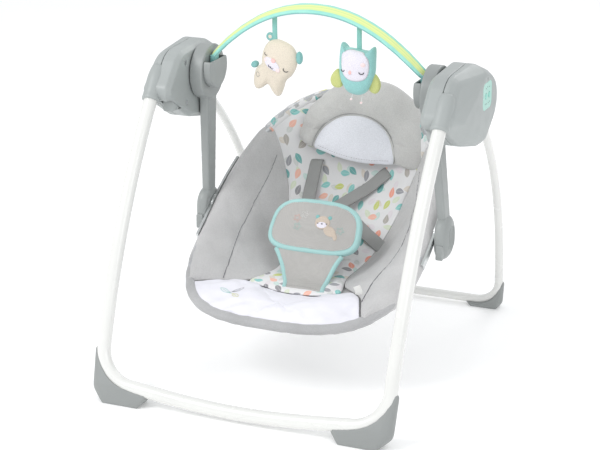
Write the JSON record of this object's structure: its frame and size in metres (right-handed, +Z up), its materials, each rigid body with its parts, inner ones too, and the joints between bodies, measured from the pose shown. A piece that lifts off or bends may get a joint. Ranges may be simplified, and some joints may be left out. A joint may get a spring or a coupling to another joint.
{
  "type": "baby swing",
  "caption": "Portable baby swing: folding tube legs, grey motor housings, a reclining padded bucket seat on swing arms, and a toy bar with plush toys.",
  "frame": {"origin": "on the floor at the centre of the footprint", "axes": "+Z up, -Y towards the front of the seat, +X to the right seen from the front"},
  "size_m": [0.6, 0.724, 0.648],
  "materials": {
    "shell_grey": "satin moulded",
    "arm_grey": "satin moulded",
    "tube_white": "gloss powder coat",
    "steel": "satin",
    "dark_plastic": "matte",
    "white_plastic": "matte",
    "aqua_plastic": "satin",
    "board_green": "satin",
    "copper": "wound wire",
    "cell_metal": "satin",
    "cloth_grey": "short plush",
    "cloth_white": "satin",
    "cloth_print": "printed leaf cotton",
    "mesh_grey": "mesh with bound edge",
    "webbing": "webbing",
    "cloth_aqua": "ribbon",
    "plush_beige": "short plush",
    "plush_aqua": "short plush"
  },
  "bodies": {
    "frame": {"housing_right_inner": "shell_grey", "housing_right_outer": "shell_grey", "housing_left_inner": "shell_grey", "housing_left_outer": "shell_grey", "control_panel": "aqua_plastic", "circuit_board": "board_green", "speaker": "dark_plastic", "batteries": "cell_metal", "battery_contacts": "steel", "drive_coil": "copper", "hub_bushings": "white_plastic", "fold_pins": "steel", "housing_screws": "steel", "front_leg_tube": "tube_white", "front_foot_left": "arm_grey", "front_foot_right": "arm_grey"},
    "rear_legs": {"rear_leg_tube": "tube_white", "rear_knuckles": "arm_grey", "rear_foot_left": "arm_grey", "rear_foot_right": "arm_grey"},
    "swing": {"hub_axles": "steel", "swing_arm_left": "arm_grey", "swing_arm_right": "arm_grey", "toy_bar_pods": "arm_grey", "recline_housing_left": "shell_grey", "recline_housing_right": "shell_grey", "magnet_lever": "arm_grey", "drive_magnet": "dark_plastic"},
    "seat": {"recline_axles": "steel", "seat_brackets": "steel", "seat_ring": "steel", "seat_shell": "cloth_grey", "seat_pad": "cloth_print", "side_bolster_left": "cloth_grey", "side_bolster_right": "cloth_grey", "front_panel": "cloth_white", "head_pillow": "cloth_grey", "pillow_insert": "cloth_white", "shoulder_straps": "webbing", "waist_straps": "webbing", "crotch_panel": "mesh_grey", "waist_pad": "mesh_grey", "harness_buckle": "dark_plastic", "label_tag": "cloth_white"},
    "toy_bar": {"toy_bar_core": "white_plastic", "toy_bar_sleeve": "cloth_aqua", "toy_bar_ends": "aqua_plastic"},
    "bear": {"bear_strap": "cloth_aqua", "bear_plush": "plush_beige"},
    "owl": {"owl_strap": "cloth_aqua", "owl_plush": "plush_aqua"},
    "battery_door": {"battery_door": "shell_grey"},
    "power_button": {"power_button": "aqua_plastic"},
    "music_button": {"music_button": "aqua_plastic"},
    "fold_button_left": {"fold_button_left": "arm_grey"},
    "fold_button_right": {"fold_button_right": "arm_grey"},
    "recline_button_left": {"recline_button_left": "dark_plastic"},
    "recline_button_right": {"recline_button_right": "dark_plastic"}
  },
  "joints": [
    {"name": "seat_swing", "type": "hinge", "parent": "frame", "child": "swing", "pos_m": [0, 0.008, 0.51], "axis": [1, 0, 0], "range_deg": [-15, 15]},
    {"name": "seat_recline", "type": "hinge", "parent": "swing", "child": "seat", "pos_m": [0, 0.039, 0.244], "axis": [1, 0, 0], "range_deg": [-20, 0]},
    {"name": "rear_leg_fold", "type": "hinge", "parent": "frame", "child": "rear_legs", "pos_m": [0, 0.066, 0.474], "axis": [-1, 0, 0], "range_deg": [0, 65]},
    {"name": "toy_bar_tilt", "type": "hinge", "parent": "swing", "child": "toy_bar", "pos_m": [0, 0.002, 0.512], "axis": [1, 0, 0], "range_deg": [-20, 20]},
    {"name": "bear_swing", "type": "hinge", "parent": "toy_bar", "child": "bear", "pos_m": [-0.075, -0.0072, 0.619], "axis": [1, 0, 0], "range_deg": [-30, 30]},
    {"name": "owl_swing", "type": "hinge", "parent": "toy_bar", "child": "owl", "pos_m": [0.082, -0.0072, 0.619], "axis": [1, 0, 0], "range_deg": [-30, 30]},
    {"name": "battery_door_open", "type": "hinge", "parent": "frame", "child": "battery_door", "pos_m": [0.266, 0.1157, 0.4885], "axis": [-1, 0, 0], "range_deg": [0, 85]},
    {"name": "power_press", "type": "slide", "parent": "frame", "child": "power_button", "axis": [-1, 0, 0], "range_m": [0, 0.0012], "stiffness_N_per_m": 600},
    {"name": "music_press", "type": "slide", "parent": "frame", "child": "music_button", "axis": [-1, 0, 0], "range_m": [0, 0.0012], "stiffness_N_per_m": 600},
    {"name": "fold_press_left", "type": "slide", "parent": "frame", "child": "fold_button_left", "axis": [0, 1, 0], "range_m": [0, 0.004], "stiffness_N_per_m": 800},
    {"name": "fold_press_right", "type": "slide", "parent": "frame", "child": "fold_button_right", "axis": [0, 1, 0], "range_m": [0, 0.004], "stiffness_N_per_m": 800},
    {"name": "recline_press_left", "type": "slide", "parent": "swing", "child": "recline_button_left", "axis": [0, 1, 0], "range_m": [0, 0.003], "stiffness_N_per_m": 800},
    {"name": "recline_press_right", "type": "slide", "parent": "swing", "child": "recline_button_right", "axis": [0, 1, 0], "range_m": [0, 0.003], "stiffness_N_per_m": 800}
  ]
}
